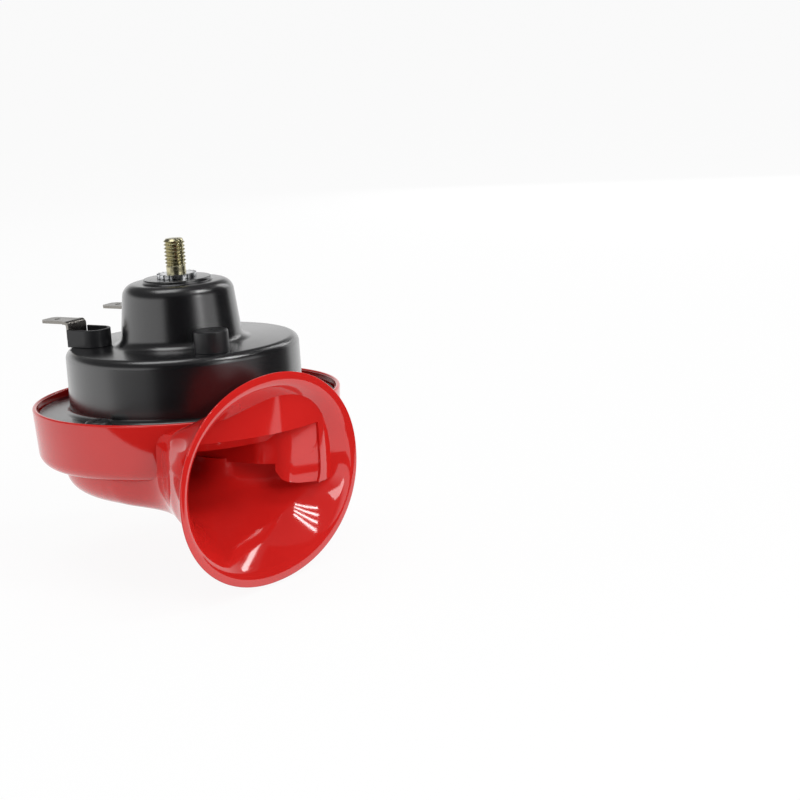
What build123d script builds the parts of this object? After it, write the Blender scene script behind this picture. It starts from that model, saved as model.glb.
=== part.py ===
from build123d import *
import os
from math import copysign, cos, exp, pi, radians, sin, tan

# Electromagnetic snail horn for a car: a two-part moulded trumpet carries a stamped steel housing,
# and the coil, armature, contact breaker and diaphragm that sound it sit inside.
# The origin is on the stud axis at the top of the lock washer, with +Z out along the stud.
# The blade terminals point to +Y, and the mouth of the trumpet faces -Y on the -X side.

# Stud and lock washer
stud_radius = 2.95
stud_length = 9.5
stud_chamfer = 0.7
neck_radius = 2.65
washer_radius = 5.5
washer_thickness = 1.3

# Stamped steel housing: boss, dome, drum and flange, whose radii follow that of the drum
drum_radius = 32.5
drum_height = 17.2
sheet = 1.2
boss_radius = 0.283 * drum_radius
boss_height = 1.0
boss_bend = 0.6
bend_steps = 3
dome_top_radius = 0.468 * drum_radius
dome_base_radius = 0.523 * drum_radius
dome_height = 16.8
dome_edge = 3.5
dome_bevel = 1.4
dome_foot = 0.092 * drum_radius
drum_edge = 2.4
drum_foot = 1.5

# Trumpet pan that takes the housing
flange_ledge = 10.5
rim_radius = drum_radius + flange_ledge
rim_wall = 1.3
rim_recess = 2.0
rim_bevel = 0.4
pan_height = 16.0
pan_draft = 1.0
pan_edge = 4.0
pan_floor = 8.0
bell_root = 0.8
chamber_radius = drum_radius + 0.7
sound_hole_radius = 6.5
sound_well = 4.0

# Spiral passage and bell of the trumpet
horn_wall = 2.0
lip_flare = 0.4
spiral_start_angle = -120.0
spiral_end_angle = 180.0
spiral_steps = 13
spiral_start_radius = 8.0
spiral_start_half_width = 6.0
spiral_start_rise = 5.0
spiral_end_rise = 8.4
spiral_start_depth = 5.5
exit_offset = 22.5
exit_half_width = 16.3
exit_rise = 11.2
exit_depth = 9.0
neck_waist = 4.2
waist_centre = 0.38
waist_reach = 0.3
mouth_reach = 45.8
mouth_half_width = 38.4
mouth_half_height = 27.8
flare_rate = 3.0
neck_shoulder = 8.0
neck_belly = 2.5
mouth_squareness = 2.1
section_points = 19
seam_overlap = 0.5
bell_stations = (0.0, 0.08, 0.2, 0.32, 0.44, 0.56, 0.68, 0.78, 0.86, 0.92, 0.96, 1.0)
bell_overrun = 1.02
lip_width = 1.5
lip_height = 0.5
wall_proud = 0.05
hub_radius = 12.5
hub_depth = 8.0
hub_bevel = 2.0

# Throat that leads the passage out through the wall of the pan, its plan in shares of the rim radius
throat_roof = 6.0
throat_inner_roof = 9.6
throat_ramp_start = 34.6
throat_ramp_end = 38.6
throat_plan = (
    (-0.209, 0.023),
    (-0.221, -0.721),
    (-0.149, -0.886),
    (0.063, -0.981),
    (0.063, -1.07),
    (-1.07, -1.07),
    (-0.837, -0.465),
    (-0.777, 0.023),
)

# Flange screws
screw_circle = drum_radius + 5.2
screw_count = 4
screw_radius = 1.75
screw_length = 8.0
screw_head_radius = 3.6
screw_head_height = 2.1
screw_head_chamfer = 0.8
recess_depth = 1.2
recess_arm = 2.0
recess_slot = 0.8

# Diaphragm stack
gasket = 0.4
gasket_radius = drum_radius + 3.1
gasket_inner_radius = drum_radius + 1.1
diaphragm = 0.4
diaphragm_rib_radius = 0.738 * drum_radius
diaphragm_rib_width = 5.0
diaphragm_rib_height = 0.7

# Pole core, coil and retainer
pole_radius = 0.16 * drum_radius
pole_length = 11.8
bobbin_bore = pole_radius + 0.4
bobbin_wall = 1.0
bobbin_flange = 1.0
bobbin_radius = 0.75 * dome_top_radius
winding_radius = bobbin_radius - 0.5
retainer_thickness = 1.5
retainer_radius = 0.882 * dome_base_radius
retainer_drop = 1.0

# Armature on the diaphragm
air_gap = 0.9
plunger_radius = pole_radius - 0.2
hub_shoulder_radius = 0.246 * drum_radius
hub_shoulder_height = 6.5
shoulder_chamfer = 1.0
stem_radius = 2.5
clamp_radius = 0.277 * drum_radius
clamp_thickness = 1.0
nut_flats = 8.0
nut_height = 4.0
stem_tail = 0.8
collar_radius = 0.277 * drum_radius
collar_height = 2.4
collar_gap = 0.3

# Blade terminals and their insulators
terminal_spread = 0.4 * drum_radius
terminal_row = 0.637 * drum_radius
blade_width = 6.3
blade_thickness = 0.8
blade_shoulder = 7.6
blade_rise = 5.4
blade_riser_offset = 6.8
blade_tab_length = 10.5
blade_tip_chamfer = 1.2
blade_hole_radius = 0.85
blade_hole_setback = 4.1
shoulder_length = 1.4
cup_radius = 0.1446 * drum_radius
cup_wall = 0.8
blade_base_width = 2 * (cup_radius - cup_wall) - 0.6
cup_floor = 0.8
cup_height = 4.9
spigot_radius = 2.4
rivet_radius = 1.6
rivet_head_radius = 2.95
rivet_head_height = 1.7
rivet_head_chamfer = 0.25
rivet_tail_radius = 2.6
rivet_tail_height = 0.8
spacer_radius = 0.129 * drum_radius

# Contact breaker
contact_arm_thickness = 0.8
contact_arm_width = 0.215 * drum_radius
contact_arm_overhang = 4.0
contact_point_radius = 2.0
contact_point_height = 1.0
spring_thickness = 0.4
spring_width = 6.0
spring_tongue = 0.2 * drum_radius
breaker_offset = 0.723 * drum_radius
breaker_length = 0.215 * drum_radius
breaker_width = 8.0
breaker_insulator = 0.8
breaker_rivet_pitch = 4.4
breaker_rivet_radius = 1.0
breaker_rivet_head = 1.9
coil_tag_length = 9.0

# Contact adjuster
adjuster_x = -0.394 * drum_radius
adjuster_y = -0.643 * drum_radius
adjuster_radius = 2.0
adjuster_reach = 3.4
adjuster_slot = 0.8
adjuster_nut_flats = 7.0
adjuster_nut_height = 2.6
plug_radius = 0.1446 * drum_radius
plug_height = 6.0
plug_chamfer = 0.5
plug_dimple_radius = 0.7
plug_dimple_depth = 0.4

# Clearances
clearance = 0.1
seat_clearance = 0.4

# Levels along the stud axis
z_boss = -washer_thickness
z_dome = z_boss - boss_height
z_drum = z_dome - dome_height
z_flange = z_drum - drum_height
z_rim = z_flange + rim_recess
z_split = z_rim - pan_height
z_ceiling = z_drum - sheet
z_under_flange = z_flange - sheet
z_diaphragm = z_under_flange - gasket
z_clamp = z_diaphragm - diaphragm
z_ledge = z_clamp - gasket
z_pole_top = z_boss - sheet
z_pole = z_pole_top - pole_length
z_plunger = z_pole - air_gap
z_retainer = z_ceiling + retainer_drop
z_winding = z_retainer + retainer_thickness
z_bobbin_top = z_dome - sheet

# Levels and places that the breaker shares
z_spring = z_ceiling - contact_arm_thickness - breaker_insulator
z_arm = z_spring - spring_thickness - 2 * contact_point_height
arm_centre = -terminal_spread
flange_radius = rim_radius - rim_wall - seat_clearance
pan_foot_radius = rim_radius - pan_draft


def rounded(corners):
    """Outline points in which each (radius, height, bend) corner becomes a fan of short chords."""
    points = []
    for k, (r, z, bend) in enumerate(corners):
        corner = Vector(r, z)
        if bend == 0:
            points.append(corner)
            continue
        before = (Vector(*corners[k - 1][:2]) - corner).normalized()
        after = (Vector(*corners[(k + 1) % len(corners)][:2]) - corner).normalized()
        half_angle = radians(before.get_angle(after)) / 2
        centre = corner + (before + after).normalized() * (bend / sin(half_angle))
        start = corner + before * (bend / tan(half_angle)) - centre
        end = corner + after * (bend / tan(half_angle)) - centre
        for step in range(bend_steps + 1):
            mix = start + (end - start) * (step / bend_steps)
            points.append(centre + mix.normalized() * bend)
    return [(point.X, point.Y) for point in points]


def turned(points):
    """A solid of revolution about the stud axis from a closed (radius, height) outline."""
    return revolve(Plane.XZ * make_face(Polyline(*points, close=True)), Axis.Z)


def ring(outer, inner, bottom, top):
    """A flat ring about the stud axis."""
    return Pos(0, 0, bottom) * extrude(Circle(outer) - Circle(inner), top - bottom)


def rod(radius, bottom, top, x=0.0, y=0.0):
    """An upright cylinder between two heights."""
    return Pos(x, y, bottom) * extrude(Circle(radius), top - bottom)


def plate(x0, x1, y0, y1, bottom, top):
    """A flat rectangular plate between two heights."""
    centre = Pos((x0 + x1) / 2, (y0 + y1) / 2, bottom)
    return centre * extrude(Rectangle(x1 - x0, y1 - y0), top - bottom)


def at_screws(shape):
    """Copies of a shape on the flange screws' circle."""
    return [Rot(0, 0, 360 * k / screw_count) * Pos(screw_circle, 0, 0) * shape for k in range(screw_count)]


# Trumpet


def half_section(centre, outward, half_width, height, squareness, overlap):
    """Points of half a superellipse above or below the seam, with its ends carried past the seam."""
    points = []
    for k in range(section_points):
        turn = pi * k / (section_points - 1)
        across = half_width * copysign(abs(cos(turn)) ** (2 / squareness), cos(turn))
        up = height * abs(sin(turn)) ** (2 / squareness)
        points.append(centre + outward * across + Vector(0, 0, up))
    beyond = Vector(0, 0, -copysign(overlap, height))
    return [points[0] + beyond] + points[1:-1] + [points[-1] + beyond]


def skinned(sections):
    """A solid whose sides are flat triangles between neighbouring sections, closed by both end sections."""
    faces = [Face(Wire.make_polygon(sections[0])), Face(Wire.make_polygon(sections[-1]))]
    for near, far in zip(sections, sections[1:]):
        for k in range(len(near)):
            a, b, c, d = near[k - 1], near[k], far[k], far[k - 1]
            faces.append(Face(Wire.make_polygon([a, b, c])))
            faces.append(Face(Wire.make_polygon([a, c, d])))
    return Solid(Shell(faces))


def between(start, end, share):
    """The value that lies a given share of the way from start to end."""
    return start + share * (end - start)


def spiral_half(side, inset):
    """Half of the growing spiral from the sound hole to the bell, its wall moved in by inset."""
    sections = []
    for k in range(spiral_steps):
        share = k / (spiral_steps - 1)
        angle = radians(between(spiral_start_angle, spiral_end_angle, share))
        outward = Vector(cos(angle), sin(angle), 0)
        centre = outward * between(spiral_start_radius, exit_offset, share) + Vector(0, 0, z_split)
        half_width = between(spiral_start_half_width, exit_half_width, share) - inset
        if side > 0:
            height = between(spiral_start_rise, spiral_end_rise, share) - inset
        else:
            height = between(spiral_start_depth, exit_depth, share) - inset
        overlap = seam_overlap if inset else 0
        sections.append(half_section(centre, outward, half_width, side * height, neck_belly, overlap))
    return skinned(sections)


def waist(share):
    """How far the neck is drawn in at a share of the bell's length."""
    away = min(abs(share - waist_centre) / waist_reach, 1.0)
    return neck_waist * (1 - away**2) ** 2


def bell_half(side, inset, stations):
    """Half of the exponential bell from the spiral to the mouth, its wall moved in by inset."""
    sections = []
    for share in stations:
        growth = (exp(flare_rate * share) - 1) / (exp(flare_rate) - 1)
        wall = inset * (1 + lip_flare * share)
        half_width = between(exit_half_width, mouth_half_width, growth) - waist(share) - wall
        height = between(exit_rise if side > 0 else exit_depth, mouth_half_height, growth) - wall
        squareness = between(neck_shoulder if side > 0 else neck_belly, mouth_squareness, share)
        centre = Vector(-exit_offset, -share * mouth_reach, z_split)
        outward = Vector(-1, 0, 0)
        overlap = seam_overlap if inset else 0
        sections.append(half_section(centre, outward, half_width, side * height, squareness, overlap))
    return skinned(sections)


def mouth_lip(side):
    """Half of the narrow bead that stiffens the edge of the mouth."""
    bead = half_section(
        Vector(-exit_offset, -mouth_reach, z_split),
        Vector(-1, 0, 0),
        mouth_half_width + lip_height,
        side * (mouth_half_height + lip_height),
        mouth_squareness,
        0,
    )
    return extrude(Face(Wire.make_polygon(bead)), lip_width, dir=(0, 1, 0))


def snail_hub():
    """The bevelled boss that closes the start of the spiral under the sound hole."""
    outline = [
        (0, z_split),
        (hub_radius, z_split),
        (hub_radius, z_split - hub_depth + hub_bevel),
        (hub_radius - hub_bevel, z_split - hub_depth),
        (0, z_split - hub_depth),
    ]
    return turned(outline)


def pan_body():
    """The round pan as a solid, with drafted sides and a rounded lower edge."""
    corners = [
        (0, z_split, 0),
        (pan_foot_radius, z_split, pan_edge),
        (rim_radius, z_rim - rim_bevel, 0),
        (rim_radius - rim_bevel, z_rim, 0),
        (0, z_rim, 0),
    ]
    return turned(rounded(corners))


def pan_core():
    """The space that the bell's wall stays out of, so that it only roots in the wall of the pan."""
    corners = [
        (0, z_split + bell_root, 0),
        (pan_foot_radius - bell_root, z_split + bell_root, pan_edge - bell_root),
        (rim_radius - bell_root, z_rim, 0),
        (rim_radius - bell_root, z_rim + mouth_half_height, 0),
        (0, z_rim + mouth_half_height, 0),
    ]
    return turned(rounded(corners))


def pan_cavity():
    """The recess for the flange, the rabbet for the diaphragm stack and the sound chamber below it."""
    recess = rod(rim_radius - rim_wall, z_under_flange, z_rim + rim_recess)
    rabbet = rod(gasket_radius + clearance, z_ledge, z_under_flange)
    return recess + rabbet + rod(chamber_radius, z_split + pan_floor, z_ledge)


def back_wall():
    """The wall that closes the bell between the opening in the pan and the flare above it."""
    inner = rim_radius - rim_wall + clearance
    band = ring(rim_radius + wall_proud, inner, z_rim - throat_roof, z_rim + mouth_half_height)
    return band & bell_half(1, 0, bell_stations)


def throat():
    """The way out of the pan: low under the sound chamber, then ramped up to the opening in its wall."""
    plan = make_face(Polyline(*[(x * rim_radius, y * rim_radius) for x, y in throat_plan], close=True))
    z_roof = z_rim - throat_roof
    z_inner_roof = z_rim - throat_inner_roof
    low = Pos(0, 0, z_split) * extrude(plan, z_inner_roof - z_split)
    high = Pos(0, 0, z_split) * extrude(plan, z_roof - z_split)
    ramp = [
        (throat_ramp_start, z_split),
        (throat_ramp_start, z_inner_roof),
        (throat_ramp_end, z_roof),
        (2 * rim_radius, z_roof),
        (2 * rim_radius, z_split),
    ]
    return low + (high & turned(ramp))


def trumpet_halves():
    """The two mouldings, which meet on the plane of the pan's underside."""
    bore_stations = bell_stations + (bell_overrun,)
    well = rod(sound_hole_radius, z_split - sound_well, z_split + pan_floor)
    pan = pan_body() - throat() - spiral_half(1, horn_wall)
    upper = Part() + bell_half(1, 0, bell_stations) + mouth_lip(1) - bell_half(1, horn_wall, bore_stations)
    upper = upper - pan_core() + pan + back_wall() - pan_cavity() - well
    upper = upper - at_screws(rod(screw_radius, z_under_flange - screw_length, z_under_flange))
    lower = Part() + bell_half(-1, 0, bell_stations) + mouth_lip(-1) + spiral_half(-1, 0) + snail_hub()
    lower = lower - bell_half(-1, horn_wall, bore_stations) - spiral_half(-1, horn_wall) - well
    return upper, lower


# Housing and its stud


def housing():
    """The stamped cup: one sheet drawn into boss, dome, drum and flange."""
    bore = neck_radius + clearance
    outside = [
        (bore, z_boss, 0),
        (boss_radius, z_boss, 0),
        (boss_radius + boss_bend, z_dome, 0),
        (dome_top_radius, z_dome, dome_edge),
        (dome_base_radius, z_drum, dome_foot),
        (drum_radius, z_drum, drum_edge),
        (drum_radius, z_flange + drum_foot, 0),
        (drum_radius + drum_foot, z_flange, 0),
        (flange_radius, z_flange, 0),
    ]
    inside = [
        (flange_radius, z_under_flange),
        (drum_radius - sheet, z_under_flange),
        (drum_radius - sheet, z_ceiling),
        (dome_base_radius - sheet, z_ceiling),
        (dome_top_radius - sheet, z_bobbin_top - dome_bevel),
        (dome_top_radius - sheet - dome_bevel, z_bobbin_top),
        (boss_radius + boss_bend - sheet, z_bobbin_top),
        (boss_radius - sheet, z_pole_top),
        (bore, z_pole_top),
    ]
    cup = turned(rounded(outside) + inside)
    for side in (-1, 1):
        cup -= rod(spigot_radius + clearance, z_ceiling, z_drum, side * terminal_spread, terminal_row)
    cup -= rod(adjuster_radius + clearance, z_ceiling, z_drum, adjuster_x, adjuster_y)
    return cup - at_screws(rod(screw_radius + clearance, z_under_flange, z_flange))


def mounting_stud():
    """The turned stud: a pole core inside the dome, a neck through it and the threaded end."""
    outline = [
        (0, z_pole),
        (pole_radius, z_pole),
        (pole_radius, z_pole_top),
        (neck_radius, z_pole_top),
        (neck_radius, 0),
        (stud_radius, 0),
        (stud_radius, stud_length - stud_chamfer),
        (stud_radius - stud_chamfer, stud_length),
        (0, stud_length),
    ]
    return turned(outline)


def lock_washer():
    """The spring washer under the bracket, with a bore that clears the neck."""
    return ring(washer_radius, neck_radius + clearance, z_boss, 0)


def flange_screws():
    """Cross-recess pan-head screws that clamp the housing into the pan."""
    head_top = z_flange + screw_head_height
    outline = [
        (0, z_under_flange - screw_length),
        (screw_radius, z_under_flange - screw_length),
        (screw_radius, z_flange),
        (screw_head_radius, z_flange),
        (screw_head_radius, head_top - screw_head_chamfer),
        (screw_head_radius - screw_head_chamfer, head_top),
        (0, head_top),
    ]
    screw = turned(outline)
    for width, length in ((recess_slot, 2 * recess_arm), (2 * recess_arm, recess_slot)):
        screw -= Pos(0, 0, head_top - recess_depth) * extrude(Rectangle(width, length), recess_depth)
    return Part() + at_screws(screw)


# Diaphragm stack


def gasket_ring(bottom):
    """A flat fibre ring that grips the edge of the diaphragm."""
    return ring(gasket_radius, gasket_inner_radius, bottom, bottom + gasket)


def diaphragm_disc():
    """The spring-steel disc, with one round rib that lets its middle move."""
    rib_low = diaphragm_rib_radius - diaphragm_rib_width / 2
    rib_high = diaphragm_rib_radius + diaphragm_rib_width / 2
    upper = [
        (stem_radius + clearance, z_diaphragm),
        (rib_low, z_diaphragm),
        (diaphragm_rib_radius, z_diaphragm - diaphragm_rib_height),
        (rib_high, z_diaphragm),
        (gasket_radius, z_diaphragm),
    ]
    lower = [(r, z - diaphragm) for r, z in reversed(upper)]
    return turned(upper + lower)


# Coil


def coil_bobbin():
    """The moulded spool between the retainer and the top of the dome."""
    barrel = bobbin_bore + bobbin_wall
    spool = ring(barrel, bobbin_bore, z_winding, z_bobbin_top)
    spool += ring(bobbin_radius, bobbin_bore, z_winding, z_winding + bobbin_flange)
    return spool + ring(bobbin_radius, bobbin_bore, z_bobbin_top - bobbin_flange, z_bobbin_top)


def coil_winding():
    """The enamelled wire as one wound body between the bobbin's flanges."""
    barrel = bobbin_bore + bobbin_wall
    return ring(winding_radius, barrel, z_winding + bobbin_flange, z_bobbin_top - bobbin_flange)


def coil_retainer():
    """The steel ring across the foot of the dome, which holds the coil up and closes its field."""
    return ring(retainer_radius, bobbin_bore, z_retainer, z_winding)


# Armature


def armature():
    """The turned iron plunger with its shoulder and the stem that carries the diaphragm."""
    z_shoulder = z_diaphragm + hub_shoulder_height
    z_tail = z_clamp - clamp_thickness - nut_height - stem_tail
    outline = [
        (0, z_tail),
        (stem_radius, z_tail),
        (stem_radius, z_diaphragm),
        (hub_shoulder_radius, z_diaphragm),
        (hub_shoulder_radius, z_shoulder - shoulder_chamfer),
        (hub_shoulder_radius - shoulder_chamfer, z_shoulder),
        (plunger_radius, z_shoulder),
        (plunger_radius, z_plunger),
        (0, z_plunger),
    ]
    return turned(outline)


def armature_collar():
    """The insulating ring on the plunger that lifts the contact spring."""
    top = z_spring - spring_thickness - collar_gap
    return ring(collar_radius, plunger_radius, top - collar_height, top)


def clamp_washer():
    """The plain washer that grips the diaphragm from below."""
    return ring(clamp_radius, stem_radius, z_clamp - clamp_thickness, z_clamp)


def hex_nut(flats, bore, bottom, height, x=0.0, y=0.0):
    """A hexagon nut with a plain bore."""
    outline = RegularPolygon(flats / 2, 6, major_radius=False) - Circle(bore)
    return Pos(x, y, bottom) * extrude(outline, height)


def armature_nut():
    """The nut on the armature's stem."""
    return hex_nut(nut_flats, stem_radius, z_clamp - clamp_thickness - nut_height, nut_height)


# Terminals


def blade_terminal(side):
    """A pressed blade: base plate under the rivet, upright riser and push-on tab."""
    low = z_drum + cup_floor
    high = low + blade_rise
    y_back = terminal_row - blade_base_width / 2
    y_riser = terminal_row + blade_riser_offset
    y_tip = y_riser + blade_tab_length
    t = blade_thickness
    bent = Polyline(
        (y_back, low),
        (y_riser, low),
        (y_riser, high),
        (y_tip, high),
        (y_tip, high + t),
        (y_riser - t, high + t),
        (y_riser - t, low + t),
        (y_back, low + t),
        close=True,
    )
    strip = extrude(Plane.YZ * make_face(bent), blade_shoulder / 2, both=True)
    y_shoulder = y_riser + shoulder_length
    y_chamfer = y_tip - blade_tip_chamfer
    half_base, half_shoulder, half_blade = blade_base_width / 2, blade_shoulder / 2, blade_width / 2
    right = [
        (half_base, terminal_row),
        (half_base, y_riser - 2 * t),
        (half_shoulder, y_riser - 2 * t),
        (half_shoulder, y_shoulder),
        (half_blade, y_shoulder),
        (half_blade, y_chamfer),
        (half_blade - blade_tip_chamfer, y_tip),
    ]
    left = [(-x, y) for x, y in reversed(right)]
    plan = make_face(Polyline(*right, *left, close=True)) + Pos(0, terminal_row) * Circle(half_base)
    blade = strip & (Pos(0, 0, low) * extrude(plan, blade_rise + t))
    blade -= rod(rivet_radius, low, low + t, 0, terminal_row)
    blade -= rod(blade_hole_radius, high, high + t, 0, y_tip - blade_hole_setback)
    return Pos(side * terminal_spread, 0, 0) * blade


def terminal_insulator(side):
    """The moulded horseshoe cup that keeps one terminal off the housing."""
    length = blade_riser_offset - blade_thickness
    y_mid = terminal_row + length / 2
    inner_radius = cup_radius - cup_wall
    outer = Pos(0, terminal_row) * Circle(cup_radius) + Pos(0, y_mid) * Rectangle(2 * cup_radius, length)
    inner = Pos(0, terminal_row) * Circle(inner_radius) + Pos(0, y_mid) * Rectangle(2 * inner_radius, length)
    cup = Pos(0, 0, z_drum) * extrude(outer, cup_height)
    cup -= Pos(0, 0, z_drum + cup_floor) * extrude(inner, cup_height)
    cup += rod(spigot_radius, z_ceiling, z_drum, 0, terminal_row)
    cup -= rod(rivet_radius, z_ceiling, z_drum + cup_floor, 0, terminal_row)
    return Pos(side * terminal_spread, 0, 0) * cup


def terminal_rivets():
    """The two solid rivets, headed over the blades and over the parts inside."""
    z_plate = z_drum + cup_floor + blade_thickness
    z_head = z_plate + rivet_head_height
    z_tail = z_arm - contact_arm_thickness
    outline = [
        (0, z_tail - rivet_tail_height),
        (rivet_tail_radius, z_tail - rivet_tail_height),
        (rivet_tail_radius, z_tail),
        (rivet_radius, z_tail),
        (rivet_radius, z_plate),
        (rivet_head_radius, z_plate),
        (rivet_head_radius, z_head - rivet_head_chamfer),
        (rivet_head_radius - rivet_head_chamfer, z_head),
        (0, z_head),
    ]
    rivet = turned(outline)
    return Part() + [Pos(side * terminal_spread, terminal_row, 0) * rivet for side in (-1, 1)]


def terminal_spacers():
    """Insulating bushes that hold the inner ends of both terminals off the housing."""
    bush = ring(spacer_radius, rivet_radius, z_arm, z_ceiling)
    return Part() + [Pos(side * terminal_spread, terminal_row, 0) * bush for side in (-1, 1)]


# Contact breaker


def fixed_contact_arm():
    """The brass strip from one terminal to the tip of the adjusting screw."""
    low = z_arm - contact_arm_thickness
    back = terminal_row + contact_arm_overhang
    front = adjuster_y - contact_arm_overhang
    half = contact_arm_width / 2
    strip = plate(arm_centre - half, arm_centre + half, front, back, low, z_arm)
    return strip - rod(rivet_radius, low, z_arm, arm_centre, terminal_row)


def coil_tag():
    """The brass tag under the other terminal, where the coil's end is soldered."""
    low = z_arm - contact_arm_thickness
    back = terminal_row + contact_arm_overhang
    half = contact_arm_width / 2
    strip = plate(terminal_spread - half, terminal_spread + half, back - coil_tag_length, back, low, z_arm)
    return strip - rod(rivet_radius, low, z_arm, terminal_spread, terminal_row)


def contact_point(bottom):
    """A tungsten contact button."""
    return rod(contact_point_radius, bottom, bottom + contact_point_height, arm_centre, 0)


def breaker_rivet_places():
    """The two rivets' places across the breaker's stack."""
    return [(-breaker_offset, side * breaker_rivet_pitch / 2) for side in (-1, 1)]


def breaker_plate(bottom, top, tip=None):
    """One layer of the breaker's stack, drilled for its rivets."""
    inner = -breaker_offset + breaker_length / 2 if tip is None else tip
    width = breaker_width if tip is None else spring_width
    layer = plate(-breaker_offset - breaker_length / 2, inner, -width / 2, width / 2, bottom, top)
    holes = [rod(breaker_rivet_radius, bottom, top, x, y) for x, y in breaker_rivet_places()]
    return layer - holes


def breaker_bracket():
    """The steel pad welded under the drum's top, which carries the contact spring."""
    return breaker_plate(z_ceiling - contact_arm_thickness, z_ceiling)


def breaker_insulators():
    """The fibre plates above and below the contact spring."""
    under = z_spring - spring_thickness
    upper = breaker_plate(z_spring, z_spring + breaker_insulator)
    return Part() + [upper, breaker_plate(under - breaker_insulator, under)]


def moving_contact_spring():
    """The leaf spring, which ends in a tongue over the armature's collar."""
    return breaker_plate(z_spring - spring_thickness, z_spring, -spring_tongue)


def breaker_rivets():
    """The rivets through the breaker's stack, headed below it."""
    low = z_spring - spring_thickness - breaker_insulator
    rivets = []
    for x, y in breaker_rivet_places():
        shank = rod(breaker_rivet_radius, low, z_ceiling, x, y)
        rivets.append(shank + rod(breaker_rivet_head, low - breaker_insulator, low, x, y))
    return Part() + rivets


# Contact adjuster


def adjusting_screw():
    """The slotted screw that bears on the fixed contact arm."""
    top = z_drum + adjuster_reach
    screw = rod(adjuster_radius, z_arm, top, adjuster_x, adjuster_y)
    slot = extrude(Rectangle(2 * adjuster_radius, adjuster_slot), adjuster_slot)
    return screw - Pos(adjuster_x, adjuster_y, top - adjuster_slot) * slot


def adjuster_nut():
    """The weld nut under the drum's top."""
    bottom = z_ceiling - adjuster_nut_height
    return hex_nut(adjuster_nut_flats, adjuster_radius, bottom, adjuster_nut_height, adjuster_x, adjuster_y)


def adjuster_plug():
    """The round cap that seals the adjusting screw, with a gate dimple in its top."""
    bore = adjuster_radius + seat_clearance
    outline = [
        (bore, 0),
        (plug_radius, 0),
        (plug_radius, plug_height - plug_chamfer),
        (plug_radius - plug_chamfer, plug_height),
        (plug_dimple_radius, plug_height),
        (0, plug_height - plug_dimple_depth),
        (0, adjuster_reach + seat_clearance),
        (bore, adjuster_reach + seat_clearance),
    ]
    return Pos(adjuster_x, adjuster_y, z_drum) * turned(outline)


trumpet_upper, trumpet_lower = trumpet_halves()
nodes = {
    "trumpet_upper": trumpet_upper,
    "trumpet_lower": trumpet_lower,
    "housing": housing(),
    "mounting_stud": mounting_stud(),
    "lock_washer": lock_washer(),
    "flange_screws": flange_screws(),
    "gasket_upper": gasket_ring(z_diaphragm),
    "gasket_lower": gasket_ring(z_ledge),
    "diaphragm": diaphragm_disc(),
    "coil_bobbin": coil_bobbin(),
    "coil_winding": coil_winding(),
    "coil_retainer": coil_retainer(),
    "armature": armature(),
    "armature_collar": armature_collar(),
    "clamp_washer": clamp_washer(),
    "armature_nut": armature_nut(),
    "blade_terminal_left": blade_terminal(-1),
    "blade_terminal_right": blade_terminal(1),
    "terminal_insulator_left": terminal_insulator(-1),
    "terminal_insulator_right": terminal_insulator(1),
    "terminal_rivets": terminal_rivets(),
    "terminal_spacers": terminal_spacers(),
    "fixed_contact_arm": fixed_contact_arm(),
    "fixed_contact_point": contact_point(z_arm),
    "moving_contact_point": contact_point(z_arm + contact_point_height),
    "moving_contact_spring": moving_contact_spring(),
    "breaker_bracket": breaker_bracket(),
    "breaker_insulators": breaker_insulators(),
    "breaker_rivets": breaker_rivets(),
    "coil_tag": coil_tag(),
    "adjusting_screw": adjusting_screw(),
    "adjuster_nut": adjuster_nut(),
    "adjuster_plug": adjuster_plug(),
}

os.makedirs("parts", exist_ok=True)
for name, shape in nodes.items():
    export_step(shape, f"parts/{name}.step")
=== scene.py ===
import bmesh
import bpy
import numpy as np
from mathutils import Matrix, Vector


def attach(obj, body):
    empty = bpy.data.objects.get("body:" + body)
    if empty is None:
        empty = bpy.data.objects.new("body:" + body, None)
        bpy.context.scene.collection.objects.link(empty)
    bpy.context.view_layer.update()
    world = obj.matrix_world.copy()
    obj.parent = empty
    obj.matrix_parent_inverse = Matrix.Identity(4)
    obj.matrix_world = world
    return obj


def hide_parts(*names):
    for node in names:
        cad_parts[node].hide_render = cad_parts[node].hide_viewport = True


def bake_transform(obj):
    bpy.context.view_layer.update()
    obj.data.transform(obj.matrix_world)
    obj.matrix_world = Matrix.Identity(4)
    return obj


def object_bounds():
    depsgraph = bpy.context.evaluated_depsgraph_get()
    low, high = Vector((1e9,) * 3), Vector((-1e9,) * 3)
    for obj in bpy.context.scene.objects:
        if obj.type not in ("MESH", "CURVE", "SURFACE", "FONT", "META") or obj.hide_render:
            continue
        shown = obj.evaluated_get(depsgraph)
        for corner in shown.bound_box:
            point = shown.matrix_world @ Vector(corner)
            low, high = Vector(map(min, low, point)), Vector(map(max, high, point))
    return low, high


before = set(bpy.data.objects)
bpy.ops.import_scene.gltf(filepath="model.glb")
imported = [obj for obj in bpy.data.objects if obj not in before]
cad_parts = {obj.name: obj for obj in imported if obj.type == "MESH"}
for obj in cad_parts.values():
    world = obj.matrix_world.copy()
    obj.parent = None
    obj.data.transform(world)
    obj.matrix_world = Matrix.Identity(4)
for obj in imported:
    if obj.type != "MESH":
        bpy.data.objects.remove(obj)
cad_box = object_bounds()

# The viewpoint: a camera a little above the horn, in front of its left side and rolled slightly, as it was
# photographed. The axes of the picture are given in the frame of the part.
picture_right = Vector((0.6240, -0.7772, -0.0817))
picture_down = Vector((-0.1972, -0.0555, -0.9788))
picture_ahead = Vector((0.7562, 0.6268, -0.1879))
camera_place = (-0.5085, -0.4258, 0.0876)
picture_px = 800
focal_px = 2400
aside_px = 200
above_px = 10
sensor_width_mm = 36
nearest_seen = 0.01

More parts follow.
